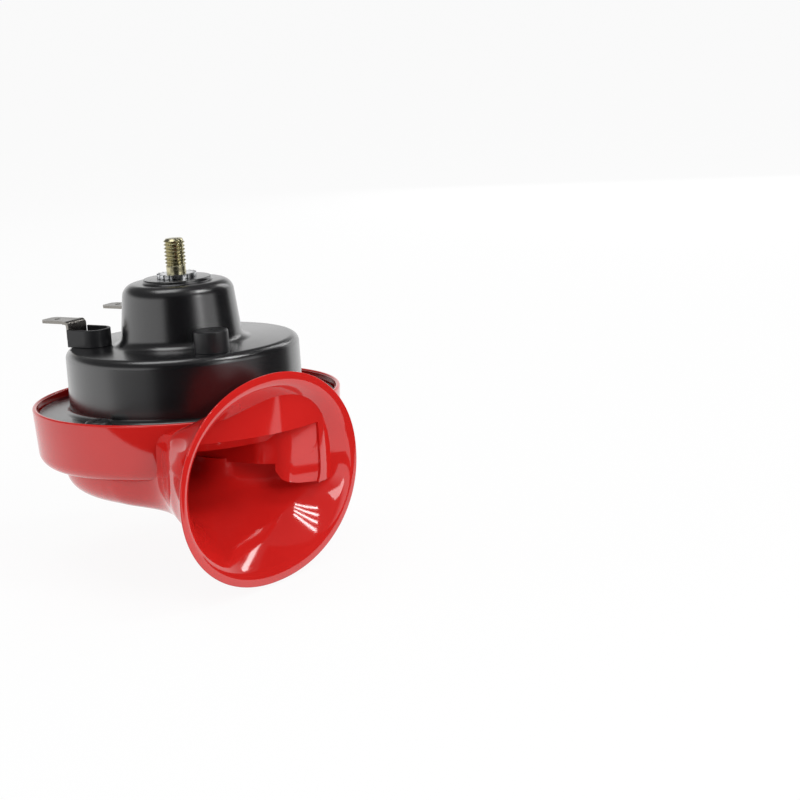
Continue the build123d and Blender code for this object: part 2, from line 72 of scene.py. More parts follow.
look = (aside_px * picture_right - above_px * picture_down + focal_px * picture_ahead).normalized()
across = (picture_right - picture_right.dot(look) * look).normalized()
camera_data = bpy.data.cameras.new("photo_camera")
camera_data.sensor_width = sensor_width_mm
camera_data.lens = sensor_width_mm * focal_px / picture_px
camera_data.clip_start = nearest_seen
camera = bpy.data.objects.new("photo_camera", camera_data)
camera_turn = Matrix((across, across.cross(look), -look)).transposed()
camera.matrix_world = Matrix.Translation(camera_place) @ camera_turn.to_4x4()
bpy.context.collection.objects.link(camera)
bpy.context.scene.camera = camera
bpy.context.scene.view_settings.view_transform = "Standard"

# The studio: a white sweep that the camera, gloss and glass see at full white, and soft lamps above and all
# round that light the horn at a plain level. Black cards keep a part of what the horn mirrors dark.
background_white = (1.0, 1.0, 1.0, 1.0)
ambient_strength = 0.48
ceiling_strength = 0.12
ceiling_start = 0.18
ceiling_end = 0.40
floor_colour = (0.88, 0.88, 0.88, 1.0)
floor_shadow = 0.08
floor_drop = 0.0002
floor_reach = 30.0
horn_middle = (0, 0, -0.04)
fill_target = (-0.02, 0, -0.05)
window_target = (0, -0.04, -0.06)
strip_target = (-0.02, -0.04, -0.06)
slit_target = (-0.03, -0.04, -0.06)
strip_count = 4
strip_middle = np.array((0.15, -0.60, 0.75))
strip_spread = np.array((0.13, 0.02, 0.0))
slit_middle = np.array((0.80, -0.10, 0.45))
slit_spread = np.array((0.0, 0.07, 0.0))
felt_black = (0.02, 0.02, 0.02, 1.0)
card_lift = 0.0005
card_near = 0.13
card_far = 1.2
card_half_width = 0.7
card_top = 0.9
right_card_ends = ((0.50, -1.00), (1.05, -0.34))
bell_card_corners = ((0.02, -0.12), (0.30, -0.90), (1.05, -0.34), (0.30, -0.10))


def nodes_of(owner):
    """Empties the node tree of a material or world; gives a function that adds a node and one that links."""
    owner.use_nodes = True
    tree = owner.node_tree
    tree.nodes.clear()

    def add(kind, values=None, **settings):
        node = tree.nodes.new(kind)
        for key, value in settings.items():
            setattr(node, key, value)
        for key, value in (values or {}).items():
            node.inputs[key].default_value = value
        return node

    return add, tree.links.new


def seen_directly(add, link):
    """A mask that is 1 for camera, glossy and transmission rays and 0 for the light that falls on things."""
    path = add("ShaderNodeLightPath")
    gloss = add("ShaderNodeMath", operation="MAXIMUM")
    link(path.outputs["Is Camera Ray"], gloss.inputs[0])
    link(path.outputs["Is Glossy Ray"], gloss.inputs[1])
    seen = add("ShaderNodeMath", operation="MAXIMUM")
    link(gloss.outputs[0], seen.inputs[0])
    link(path.outputs["Is Transmission Ray"], seen.inputs[1])
    return seen.outputs[0]


def flat_sheet(name, corners):
    """One four-cornered face of the studio, which isn't part of the horn."""
    mesh = bpy.data.meshes.new(name)
    mesh.from_pydata(corners, [], [(0, 1, 2, 3)])
    sheet_object = bpy.data.objects.new(name, mesh)
    bpy.context.collection.objects.link(sheet_object)
    return sheet_object


def soft_lamp(name, place, target, width, height, power, mirrored=True):
    """A rectangular soft box turned to face a target; the camera doesn't see it, but gloss may."""
    data = bpy.data.lights.new(name, "AREA")
    data.shape = "RECTANGLE"
    data.size = width
    data.size_y = height
    data.energy = power
    lamp = bpy.data.objects.new(name, data)
    facing = (Vector(target) - Vector(place)).to_track_quat("-Z", "Y")
    lamp.matrix_world = Matrix.Translation(place) @ facing.to_matrix().to_4x4()
    lamp.visible_camera = False
    lamp.visible_glossy = mirrored
    bpy.context.collection.objects.link(lamp)


def dark_card(name, corners):
    """A matt black card that only gloss sees, so that it darkens what the horn mirrors and shades nothing."""
    card = flat_sheet(name, corners)
    card.visible_camera = False
    card.visible_shadow = False
    card.visible_diffuse = False
    material = bpy.data.materials.new(name)
    add, link = nodes_of(material)
    felt = add("ShaderNodeBsdfDiffuse", {"Color": felt_black})
    link(felt.outputs[0], add("ShaderNodeOutputMaterial").inputs["Surface"])
    card.data.materials.append(material)


def card_edge(reach, level):
    """Both ends of an edge that lies across the view, at a distance from the horn towards the camera."""
    return [(*(towards * reach + sideways * side * card_half_width), level) for side in (-1, 1)]


world = bpy.data.worlds.new("studio")
bpy.context.scene.world = world
add, link = nodes_of(world)
upward = add("ShaderNodeSeparateXYZ")
link(add("ShaderNodeTexCoord").outputs["Generated"], upward.inputs[0])
ceiling = add(
    "ShaderNodeMapRange",
    {"From Min": ceiling_start, "From Max": ceiling_end, "To Min": 1.0, "To Max": ceiling_strength},
)
link(upward.outputs["Z"], ceiling.inputs["Value"])
strength = add("ShaderNodeMix", {"A": ambient_strength})
link(seen_directly(add, link), strength.inputs["Factor"])
link(ceiling.outputs["Result"], strength.inputs["B"])
sky = add("ShaderNodeBackground", {"Color": background_white})
link(strength.outputs["Result"], sky.inputs["Strength"])
link(sky.outputs[0], add("ShaderNodeOutputWorld").inputs["Surface"])

floor_level = cad_box[0][2] - floor_drop
floor_corners = np.array([(-1, -1), (1, -1), (1, 1), (-1, 1)]) * floor_reach
floor = flat_sheet("floor", np.c_[floor_corners, np.full(4, floor_level)].tolist())
floor_material = bpy.data.materials.new("pale_floor")
add, link = nodes_of(floor_material)
paper = add("ShaderNodeBsdfDiffuse", {"Color": floor_colour})
glow = add("ShaderNodeEmission", {"Color": background_white, "Strength": 1.0})
share = add("ShaderNodeMath", {1: 1.0 - floor_shadow}, operation="MULTIPLY")
link(seen_directly(add, link), share.inputs[0])
mix = add("ShaderNodeMixShader")
link(share.outputs[0], mix.inputs["Fac"])
link(paper.outputs[0], mix.inputs[1])
link(glow.outputs[0], mix.inputs[2])
link(mix.outputs[0], add("ShaderNodeOutputMaterial").inputs["Surface"])
floor.data.materials.append(floor_material)

soft_lamp("lamp_above", (-0.10, 0.20, 1.0), horn_middle, width=0.5, height=0.5, power=2.0)
soft_lamp("lamp_left", (-0.60, 0.70, 0.13), horn_middle, width=0.5, height=0.36, power=2.0, mirrored=False)
soft_lamp("lamp_right", (0.85, 0.25, 0.13), horn_middle, width=0.5, height=0.36, power=1.1, mirrored=False)
soft_lamp("lamp_fill", (-0.30, -0.80, 0.42), fill_target, width=0.4, height=0.4, power=3.0, mirrored=False)
soft_lamp("lamp_window", (-0.13, -0.90, 0.28), window_target, width=0.12, height=0.32, power=0.5)
for step in np.linspace(-1, 1, strip_count):
    place = strip_middle + strip_spread * step
    soft_lamp("lamp_strip", place, strip_target, width=0.032, height=0.32, power=0.5)
for step in (-1, 1):
    place = slit_middle + slit_spread * step
    soft_lamp("lamp_slit", place, slit_target, width=0.05, height=0.4, power=0.35)

towards = np.array([-picture_ahead[0], -picture_ahead[1]]) / np.hypot(picture_ahead[0], picture_ahead[1])
sideways = np.array([-towards[1], towards[0]])
card_level = floor_level + card_lift
dark_card("card_on_floor", card_edge(card_near, card_level) + card_edge(card_far, card_level)[::-1])
dark_card("card_behind_camera", card_edge(card_far, card_level) + card_edge(card_far, card_top)[::-1])
right_card_foot = [(*end, card_level) for end in right_card_ends]
dark_card("card_at_right", right_card_foot + [(*end, card_top) for end in right_card_ends[::-1]])
dark_card("card_under_bell", [(*corner, card_level) for corner in bell_card_corners])

# Upper half of the trumpet: a pan that takes the housing, with the upper half of the bell, moulded in one
# piece of glossy red plastic. The throat opens through the wall of the pan into the bell.
mm = 0.001
weld = 1e-6
sharp_angle = 35
z_rim = -34.3
z_split = -50.3
z_seat = -37.5
z_ledge = -38.7
pan_foot_radius = 42.0
pan_edge = 4.0
rim_radius = 43.0
rim_wall = 1.3
rim_round = 0.55
rabbet_radius = 35.7
chamber_radius = 33.2
chamber_floor = -42.3
sound_hole_radius = 6.5
fine_columns = 240
wall_proud = 0.05
wall_inside = 36.1
wall_lap = 0.1
wall_step = 0.4
bell_root = 0.8
bell_rows = 64
bell_solid_rows = 60
oval_columns = 97
horn_wall = 2.0
envelope_end = 0.98
lip_flare = 0.4
lip_width = 1.5
lip_height = 0.5
lip_round = 1.0
lip_steps = 7
bead_slope = 0.3
exit_offset = 22.5
exit_half_width = 16.3
exit_rise = 11.2
exit_depth = 9.0
neck_waist = 4.2
waist_centre = 0.38
waist_reach = 0.3
neck_shoulder = 10.0
neck_end = 0.42
neck_belly = 2.5
mouth_reach = 45.8
mouth_half_width = 38.4
mouth_half_height = 27.8
mouth_squareness = 2.1
flare_rate = 3.0
spiral_rows = 73
spiral_angles = np.radians((-120.0, 180.0))
spiral_start_radius = 8.0
spiral_start_half_width = 6.0
spiral_rise = (5.0, 8.4)
spiral_depth = (5.5, 9.0)
throat_corners = (
    (-9.0, 1.0, 0),
    (-9.5, -31.0, 8.0),
    (-6.4, -38.1, 6.0),
    (2.7, -42.2, 0),
    (2.7, -46.0, 0),
    (-46.0, -46.0, 0),
    (-36.0, -20.0, 0),
    (-33.4, 1.0, 0),
)
throat_roof = -40.3
throat_inner_roof = -43.9
throat_ramp = (34.6, 38.6)
roof_gap = 0.02
screw_turns = np.radians((0, 90, 180, 270))
screw_circle = 37.7
screw_radius = 1.75
screw_depth = 8.0
pilot_over = 0.1
seam_overlap = 0.5
cut_over = 1.0


def piece(name, points, faces):
    """A mesh object from points in millimetres, with doubles merged and faces turned outwards."""
    mesh = bpy.data.meshes.new(name)
    mesh.from_pydata((np.asarray(points, float).reshape(-1, 3) * mm).tolist(), [], faces)
    work = bmesh.new()
    work.from_mesh(mesh)
    bmesh.ops.remove_doubles(work, verts=work.verts, dist=weld)
    bmesh.ops.dissolve_degenerate(work, edges=work.edges, dist=weld)
    bmesh.ops.recalc_face_normals(work, faces=work.faces)
    work.to_mesh(mesh)
    work.free()
    obj = bpy.data.objects.new(name, mesh)
    bpy.context.collection.objects.link(obj)
    return obj


def grid_faces(rows, columns, ring_rows=False, ring_columns=False, cap_rows=False, cap_columns=False):
    """Quads between grid neighbours; either way round can close on itself or end in flat caps."""
    index = np.arange(rows * columns).reshape(rows, columns)
    down = np.vstack([index, index[:1]]) if ring_rows else index
    grid = np.hstack([down, down[:, :1]]) if ring_columns else down
    quads = np.stack([grid[:-1, :-1], grid[1:, :-1], grid[1:, 1:], grid[:-1, 1:]], -1).reshape(-1, 4).tolist()
    if cap_rows:
        quads += [index[0].tolist(), index[-1].tolist()]
    if cap_columns:
        quads += [index[:, 0].tolist(), index[:, -1].tolist()]
    return quads


def filleted(corners, steps=8):
    """Outline points: each (x, y, bend) corner becomes an arc of radius bend that touches both its sides."""
    corners = np.array(corners, float)
    points = []
    for before, here, after in zip(np.roll(corners, 1, 0), corners, np.roll(corners, -1, 0)):
        if here[2] == 0:
            points.append(here[None, :2])
            continue
        back = (before - here)[:2] / np.linalg.norm((before - here)[:2])
        on = (after - here)[:2] / np.linalg.norm((after - here)[:2])
        half = np.arccos(np.clip(back @ on, -1, 1)) / 2
        middle = here[:2] + (back + on) / np.linalg.norm(back + on) * here[2] / np.sin(half)
        start = here[:2] + back * here[2] / np.tan(half) - middle
        end = here[:2] + on * here[2] / np.tan(half) - middle
        turn = np.linspace(0, 1, steps + 1)[:, None]
        sweep = np.pi - 2 * half
        swept = np.sin((1 - turn) * sweep) * start + np.sin(turn * sweep) * end
        points.append(middle + swept / np.sin(sweep))
    return np.vstack(points)


def turned(name, profile, columns, x=0.0, y=0.0):
    """A solid of revolution: a closed (radius, height) profile carried round an upright axis at x, y."""
    angle = np.linspace(0, 2 * np.pi, columns, endpoint=False)[:, None]
    radius, height = profile[None, :, 0], profile[None, :, 1]
    points = np.stack([x + radius * np.cos(angle), y + radius * np.sin(angle), height + 0 * angle], -1)
    return piece(name, points, grid_faces(columns, len(profile), ring_rows=True, ring_columns=True))


def rod(name, radius, bottom, top, x=0.0, y=0.0, columns=48):
    """An upright cylinder: a rectangle of that radius carried round its axis at x, y."""
    profile = np.array([(0, bottom), (radius, bottom), (radius, top), (0, top)], float)
    return turned(name, profile, columns, x, y)


def stacked(name, levels):
    """A closed solid through a stack of rings, each given as a row of points, with flat ends."""
    return piece(name, levels, grid_faces(*levels.shape[:2], ring_columns=True, cap_rows=True))


def at_height(plan, z):
    """A flat outline of x, y points lifted to a height."""
    return np.c_[plan, np.full(len(plan), z)]


def prism(name, plan, bottom, top):
    """A flat outline carried straight up from one height to another."""
    return stacked(name, np.stack([at_height(plan, z) for z in (bottom, top)]))


def combine(obj, operation, *others):
    """The solid left after others are joined to it, cut from it or kept in common, one after another."""
    for other in others:
        step = obj.modifiers.new(operation, "BOOLEAN")
        step.operation = operation
        step.solver = "EXACT"
        step.object = other
        step.material_mode = "TRANSFER"
        result = bpy.data.meshes.new_from_object(obj.evaluated_get(bpy.context.evaluated_depsgraph_get()))
        obj.modifiers.clear()
        obj.data = result
        bpy.data.objects.remove(other)
    return obj


def mark(obj, name):
    """A stand-in material that tells the faces of one solid from those of another until both are finished."""
    obj.data.materials.clear()
    obj.data.materials.append(bpy.data.materials.new(name))
    return obj


def cover(mesh, material):
    """Makes a material the only one on a mesh."""
    mesh.materials.clear()
    mesh.materials.append(material)


def finish_piece(obj, node, material, sharp=sharp_angle):
    """Smooths the faces, keeps sharp edges, also where two marked solids meet, gives the piece its finish,
    hangs it on the horn's body and hides the CAD node that it stands for."""
    obj.data.shade_smooth()
    obj.data.set_sharp_from_angle(angle=np.radians(sharp))
    work = bmesh.new()
    work.from_mesh(obj.data)
    for edge in work.edges:
        if len({face.material_index for face in edge.link_faces}) > 1:
            edge.smooth = False
    for face in work.faces:
        face.material_index = 0
    work.to_mesh(obj.data)
    work.free()
    cover(obj.data, material)
    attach(obj, "horn")
    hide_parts(node)


def uneven_surface():
    """The group that all finishes share: noise in soft patches moves the colour and the roughness between two
    values each, and a finer noise gives the height of the grain."""
    tree = bpy.data.node_groups.new("uneven_surface", "ShaderNodeTree")
    for socket, kind in (
        ("Place", "NodeSocketVector"),
        ("Patch Scale", "NodeSocketFloat"),
        ("Grain Scale", "NodeSocketFloat"),
        ("Low Colour", "NodeSocketColor"),
        ("High Colour", "NodeSocketColor"),
        ("Low Roughness", "NodeSocketFloat"),
        ("High Roughness", "NodeSocketFloat"),
    ):
        tree.interface.new_socket(name=socket, in_out="INPUT", socket_type=kind)
    for socket, kind in (
        ("Colour", "NodeSocketColor"),
        ("Roughness", "NodeSocketFloat"),
        ("Height", "NodeSocketFloat"),
    ):
        tree.interface.new_socket(name=socket, in_out="OUTPUT", socket_type=kind)
    given = tree.nodes.new("NodeGroupInput").outputs
    put = tree.nodes.new("NodeGroupOutput").inputs
    patches = tree.nodes.new("ShaderNodeTexNoise")
    patches.inputs["Detail"].default_value = 3
    grain = tree.nodes.new("ShaderNodeTexNoise")
    grain.inputs["Detail"].default_value = 2
    tint = tree.nodes.new("ShaderNodeMix")
    tint.data_type = "RGBA"
    sheen = tree.nodes.new("ShaderNodeMapRange")
    sheen.inputs["From Min"].default_value = 0.3
    sheen.inputs["From Max"].default_value = 0.7
    for source, target in (
        (given["Place"], patches.inputs["Vector"]),
        (given["Place"], grain.inputs["Vector"]),
        (given["Patch Scale"], patches.inputs["Scale"]),
        (given["Grain Scale"], grain.inputs["Scale"]),
        (patches.outputs["Fac"], tint.inputs["Factor"]),
        (given["Low Colour"], tint.inputs["A"]),
        (given["High Colour"], tint.inputs["B"]),
        (patches.outputs["Fac"], sheen.inputs["Value"]),
        (given["Low Roughness"], sheen.inputs["To Min"]),
        (given["High Roughness"], sheen.inputs["To Max"]),
        (tint.outputs["Result"], put["Colour"]),
        (sheen.outputs["Result"], put["Roughness"]),
        (grain.outputs["Fac"], put["Height"]),
    ):
        tree.links.new(source, target)
    return tree


uneven = uneven_surface()


def finish(
    name, low, high, roughness, patch, grain, bump, metallic=0.0, specular=0.5, coat=0.0, stretch=None
):
    """A material whose colour and roughness drift between two values in patches, with a fine raised grain.
    The patch, the grain and the bump are in millimetres, and stretch draws the pattern out along an axis."""
    material = bpy.data.materials.new(name)
    add, link = nodes_of(material)
    place = add("ShaderNodeTexCoord").outputs["Object"]
    if stretch is not None:
        drawn_out = add("ShaderNodeMapping", {"Scale": stretch})
        link(place, drawn_out.inputs["Vector"])
        place = drawn_out.outputs["Vector"]
    surface = add("ShaderNodeGroup", node_tree=uneven)
    for key, value in (
        ("Patch Scale", 1 / (patch * mm)),
        ("Grain Scale", 1 / (grain * mm)),
        ("Low Colour", (*low, 1)),
        ("High Colour", (*high, 1)),
        ("Low Roughness", roughness[0]),
        ("High Roughness", roughness[1]),
    ):
        surface.inputs[key].default_value = value
    link(place, surface.inputs["Place"])
    gloss = {"Specular IOR Level": specular, "Coat Weight": coat, "Coat Roughness": roughness[0]}
    shader = add("ShaderNodeBsdfPrincipled", {"Metallic": metallic, **gloss})
    raised = add("ShaderNodeBump", {"Strength": 1.0, "Distance": bump * mm})
    link(surface.outputs["Height"], raised.inputs["Height"])
    link(raised.outputs["Normal"], shader.inputs["Normal"])
    link(surface.outputs["Colour"], shader.inputs["Base Color"])
    link(surface.outputs["Roughness"], shader.inputs["Roughness"])
    link(shader.outputs[0], add("ShaderNodeOutputMaterial").inputs["Surface"])
    return material


def half_oval(turn, squareness):
    """Half a superellipse |x|^n + |z|^n = 1 at polar angles turn: (x, z) for unit half width and height."""
    x, z = np.cos(turn), np.sin(turn)
    reach = (np.abs(x) ** squareness + np.abs(z) ** squareness) ** (-1 / squareness)
    return x * reach, z * reach


def bell_points(side, share, offset):
    """Points of the bell: at each share of its length a half oval, grown exponentially to the mouth, drawn
    in at the waist and moved outwards by offset; side is 1 for the upper half and -1 for the lower."""
    growth = (np.exp(flare_rate * share) - 1) / (np.exp(flare_rate) - 1)
    rise, bluntness = (exit_rise, neck_shoulder) if side > 0 else (exit_depth, neck_belly)
    away = np.clip(np.abs(share - waist_centre) / waist_reach, 0, 1)
    waist = neck_waist * (1 - away**2) ** 2
    width = exit_half_width + growth * (mouth_half_width - exit_half_width) - waist + offset
    height = rise + growth * (mouth_half_height - rise) + offset
    fade = 1 - np.clip((share - neck_end) / (1 - neck_end), 0, 1)
    squareness = mouth_squareness + (bluntness - mouth_squareness) * fade**2
    x, z = half_oval(np.linspace(0, np.pi, oval_columns)[None, :], squareness[:, None])
    y = np.broadcast_to(-share[:, None] * mouth_reach, x.shape)
    return np.stack([-exit_offset - width[:, None] * x, y, z_split + side * height[:, None] * z], -1)


def bell_shell(name, side):
    """Half of the bell as a closed wall: out along the outside, over the beaded lip, back along the bore."""
    out = np.linspace(0, 1 - lip_width / mouth_reach, bell_rows)
    arc = np.linspace(0, np.pi / 2, lip_steps)
    wall = horn_wall * (1 + lip_flare)
    bead = 1 - (lip_width - bead_slope) / mouth_reach
    edge = 1 - lip_round / mouth_reach
    front = edge + np.sin(arc) * lip_round / mouth_reach
    share = np.concatenate([out, [bead, edge], front[1:], front[::-1], out[::-1]])
    offset = np.concatenate(
        [
            0 * out,
            [lip_height, lip_height],
            (lip_height - lip_round * (1 - np.cos(arc)))[1:],
            (-wall + lip_round * (1 - np.cos(arc)))[::-1],
            -horn_wall * (1 + lip_flare * out[::-1]),
        ]
    )
    points = bell_points(side, share, offset)
    return piece(name, points, grid_faces(*points.shape[:2], ring_rows=True, cap_columns=True))


def bell_solid(name, side, inset, end):
    """Half of the bell as a solid up to a share of its length, inset by a wall and run past the seam."""
    share = np.linspace(0, end, bell_solid_rows)
    points = bell_points(side, share, -inset * (1 + lip_flare * share))
    points[:, (0, -1), 2] -= side * seam_overlap
    return stacked(name, points)


def spiral_solid(name, side, inset):
    """Half of the growing spiral: half ovals carried round the axis while their radius and size grow evenly.
    As a bore it is inset by a wall and runs past the seam."""
    share = np.linspace(0, 1, spiral_rows)
    angle = spiral_angles[0] + share * (spiral_angles[1] - spiral_angles[0])
    radius = spiral_start_radius + share * (exit_offset - spiral_start_radius)
    width = spiral_start_half_width + share * (exit_half_width - spiral_start_half_width) - inset
    low, high = spiral_rise if side > 0 else spiral_depth
    height = low + share * (high - low) - inset
    x, z = half_oval(np.linspace(0, np.pi, oval_columns), neck_belly)
    reach = radius[:, None] + width[:, None] * x
    upright = z_split + side * height[:, None] * z
    points = np.stack([reach * np.cos(angle)[:, None], reach * np.sin(angle)[:, None], upright], -1)
    if inset:
        points[:, (0, -1), 2] -= side * seam_overlap
    return stacked(name, points)


red_plastic = finish(
    "red_plastic",
    low=(0.55, 0.012, 0.010),
    high=(0.60, 0.017, 0.014),
    roughness=(0.055, 0.08),
    patch=14,
    grain=3.0,
    bump=0.002,
    specular=0.85,
)
throat_plan = filleted(throat_corners)
pan_profile = filleted(
    [
        (sound_hole_radius, z_split, 0),
        (pan_foot_radius, z_split, pan_edge),
        (rim_radius, z_rim, rim_round),
        (rim_radius - rim_wall, z_rim, rim_round),
        (rim_radius - rim_wall, z_seat, 0),
        (rabbet_radius, z_seat, 0),
        (rabbet_radius, z_ledge, 0),
        (chamber_radius, z_ledge, 0),
        (chamber_radius, chamber_floor, 0),
        (sound_hole_radius, chamber_floor, 0),
    ]
)
ramp_profile = np.array(
    [
        (throat_ramp[0], z_split - cut_over),
        (2 * rim_radius, z_split - cut_over),
        (2 * rim_radius, throat_roof),
        (throat_ramp[1], throat_roof),
        (throat_ramp[0], throat_inner_roof),
    ]
)
z_over_bell = z_rim + mouth_half_height
core_profile = filleted(
    [
        (0, z_split + bell_root, 0),
        (pan_foot_radius - bell_root, z_split + bell_root, pan_edge - bell_root),
        (rim_radius - bell_root, z_rim, 0),
        (rim_radius - bell_root, z_over_bell, 0),
        (0, z_over_bell, 0),
    ]
)
wall_profile = np.array(
    [
        (wall_inside, z_split),
        (rim_radius + wall_proud, z_split),
        (rim_radius + wall_proud, z_over_bell),
        (rim_radius - rim_wall + wall_lap, z_over_bell),
        (rim_radius - rim_wall + wall_lap, throat_roof + wall_step),
        (wall_inside, throat_roof + wall_step),
    ]
)
trumpet_upper = turned("trumpet_upper_moulding", pan_profile, fine_columns)
throat_low = prism("throat_low", throat_plan, z_split - cut_over, throat_inner_roof)
throat_high = prism("throat_high", throat_plan, z_split - cut_over, throat_roof + cut_over)
combine(throat_high, "INTERSECT", turned("ramp", ramp_profile, fine_columns))
combine(trumpet_upper, "DIFFERENCE", throat_low, throat_high, spiral_solid("passage", 1, horn_wall))
bell_upper = mark(bell_shell("bell_upper", 1), "bell_faces")
combine(bell_upper, "DIFFERENCE", mark(turned("core", core_profile, fine_columns), "core_faces"))
envelope = mark(bell_solid("envelope", 1, horn_wall / 2, envelope_end), "envelope_faces")
back_wall = mark(turned("back_wall", wall_profile, fine_columns), "wall_faces")
throat_way = prism("throat_way", throat_plan + (wall_proud, 0), z_split - cut_over, throat_roof - roof_gap)
combine(back_wall, "INTERSECT", envelope)
combine(back_wall, "DIFFERENCE", mark(throat_way, "way_faces"))
combine(mark(trumpet_upper, "pan_faces"), "UNION", bell_upper, back_wall)
for turn in screw_turns:
    place = screw_circle * np.cos(turn), screw_circle * np.sin(turn)
    pilot = rod("pilot", screw_radius, z_seat - screw_depth, z_seat + pilot_over, *place)
    combine(trumpet_upper, "DIFFERENCE", pilot)
finish_piece(trumpet_upper, "trumpet_upper", red_plastic)

# Lower half of the trumpet: the spiral passage with the lower half of the bell and a rounded wedge beside the
# throat, moulded in the same red plastic and welded to the upper half along the flat seam.
hub_radius = 12.5
hub_depth = 8.0
hub_bevel = 2.0
hub_columns = 96
sound_well = 4.0
bore_end = 1.02
wedge_depth = 6.5
wedge_curve = ((0.0, 0.3), (1.5, 0.65), (4.0, 0.9))
wedge_cove = 3.0
cove_over = 0.6
shaft_over = 0.5
shaft_levels = 16

hub_profile = filleted(
    [
        (0, z_split, 0),
        (hub_radius, z_split, 0),
        (hub_radius, z_split - hub_depth, hub_bevel),
        (0, z_split - hub_depth, 0),
    ]
)
wedge_profile = np.array(
    [(wall_inside + out, z_split - share * wedge_depth) for out, share in wedge_curve]
    + [
        (rim_radius + wall_proud, z_split - wedge_depth),
        (rim_radius + wall_proud, z_split),
        (wall_inside, z_split),
    ]
)


def throat_shaft():
    """The throat's outline carried down from above the seam, moved aside by a quarter ellipse of depth."""
    depth = np.concatenate([[-cut_over], np.linspace(0, wedge_depth + shaft_over, shaft_levels)])
    aside = wedge_cove * (1 - np.sqrt(1 - np.clip(depth / (wedge_depth + cove_over), 0, 1) ** 2))
    levels = [at_height(throat_plan - (shift, 0), z_split - low) for shift, low in zip(aside, depth)]
    return stacked("throat_shaft", np.stack(levels))


trumpet_lower = bell_shell("trumpet_lower_moulding", -1)
snail = combine(spiral_solid("snail", -1, 0), "UNION", turned("hub", hub_profile, hub_columns))
bore = bell_solid("bore", -1, horn_wall, bore_end)
well = rod("well", sound_hole_radius, z_split - sound_well, z_split + cut_over)
combine(snail, "DIFFERENCE", spiral_solid("passage", -1, horn_wall), bore, well)
combine(trumpet_lower, "DIFFERENCE", spiral_solid("passage", -1, horn_wall))
wedge = mark(turned("wedge", wedge_profile, fine_columns), "wedge_faces")
combine(wedge, "INTERSECT", bell_solid("envelope", -1, horn_wall / 2, envelope_end))
combine(wedge, "DIFFERENCE", mark(throat_shaft(), "shaft_faces"))
combine(mark(trumpet_lower, "bell_faces"), "UNION", mark(snail, "snail_faces"), wedge)
finish_piece(trumpet_lower, "trumpet_lower", red_plastic)

# Housing: one steel sheet drawn into a boss, a dome, a drum and a flange, painted satin black and seated in
# the recess of the pan. It has holes for the stud, the terminals, the adjuster and the screws.
sheet = 1.2
z_boss = -1.3
z_dome = -2.3
z_drum = -19.1
z_flange = -36.3
flange_radius = 41.3
flange_edge = 0.2
boss_radius = 9.2
boss_slope = 0.3
boss_bend = 0.5
dome_top_radius = 15.2
dome_base_radius = 17.0
dome_bend = 3.5
dome_inner_bend = 2.3
dome_foot_bend = 3.0
drum_radius = 32.5
drum_bend = 2.4
drum_inner_bend = 1.2
drum_foot_bend = 1.5
stud_bore = 2.75
terminal_spread = 13.0
terminal_row = 20.7
terminal_hole = 2.5
adjuster_x = -12.8
adjuster_y = -20.9
adjuster_hole = 2.1
screw_clearance = 0.1

black_paint = finish(
    "black_paint",
    low=(0.003, 0.003, 0.004),
    high=(0.005, 0.005, 0.006),
    roughness=(0.25, 0.27),
    patch=14,
    grain=0.8,
    bump=0.0008,
    specular=1.0,
    coat=0.7,
)
cup_profile = filleted(
    [
        (stud_bore, z_boss, 0),
        (boss_radius + boss_slope, z_boss, boss_bend),
        (boss_radius + 2 * boss_slope, z_dome, boss_bend),
        (dome_top_radius, z_dome, dome_bend),
        (dome_base_radius, z_drum, dome_foot_bend),
        (drum_radius, z_drum, drum_bend),
        (drum_radius, z_flange, drum_foot_bend),
        (flange_radius, z_flange, flange_edge),
        (flange_radius, z_seat, flange_edge),
        (drum_radius - sheet, z_seat, 0),
        (drum_radius - sheet, z_drum - sheet, drum_inner_bend),
        (dome_base_radius - sheet, z_drum - sheet, 0),
        (dome_top_radius - sheet, z_dome - sheet, dome_inner_bend),
        (boss_radius + 2 * boss_slope - sheet, z_dome - sheet, 0),
        (boss_radius - sheet, z_boss - sheet, 0),
        (stud_bore, z_boss - sheet, 0),
    ]
)
housing = turned("housing_cup", cup_profile, fine_columns)
for x, y, radius in (
    (-terminal_spread, terminal_row, terminal_hole),
    (terminal_spread, terminal_row, terminal_hole),
    (adjuster_x, adjuster_y, adjuster_hole),
):
    combine(housing, "DIFFERENCE", rod("hole", radius, z_drum - 2 * sheet, z_drum + sheet, x, y))
for turn in screw_turns:
    place = screw_circle * np.cos(turn), screw_circle * np.sin(turn)
    hole = rod("hole", screw_radius + screw_clearance, z_seat - sheet, z_flange + sheet, *place)
    combine(housing, "DIFFERENCE", hole)
finish_piece(housing, "housing", black_paint)

# Mounting stud: a turned steel stud with a rolled M6 thread, yellow zinc plated. Its thicker end is the core
# of the coil inside the dome.
stud_radius = 2.95
stud_top = 9.5
stud_chamfer = 0.7
stud_sharp_angle = 50
neck_radius = 2.65
shank_radius = 2.7
shank_foot = 0.02
pole_radius = 5.2
pole_top = -2.5
pole_bottom = -14.3
thread_pitch = 1.0
thread_depth = 0.55
thread_start = 1.7
thread_run = 0.7
thread_slope = 1.25
thread_crest = 0.12
thread_rows = 260
thread_columns = 72


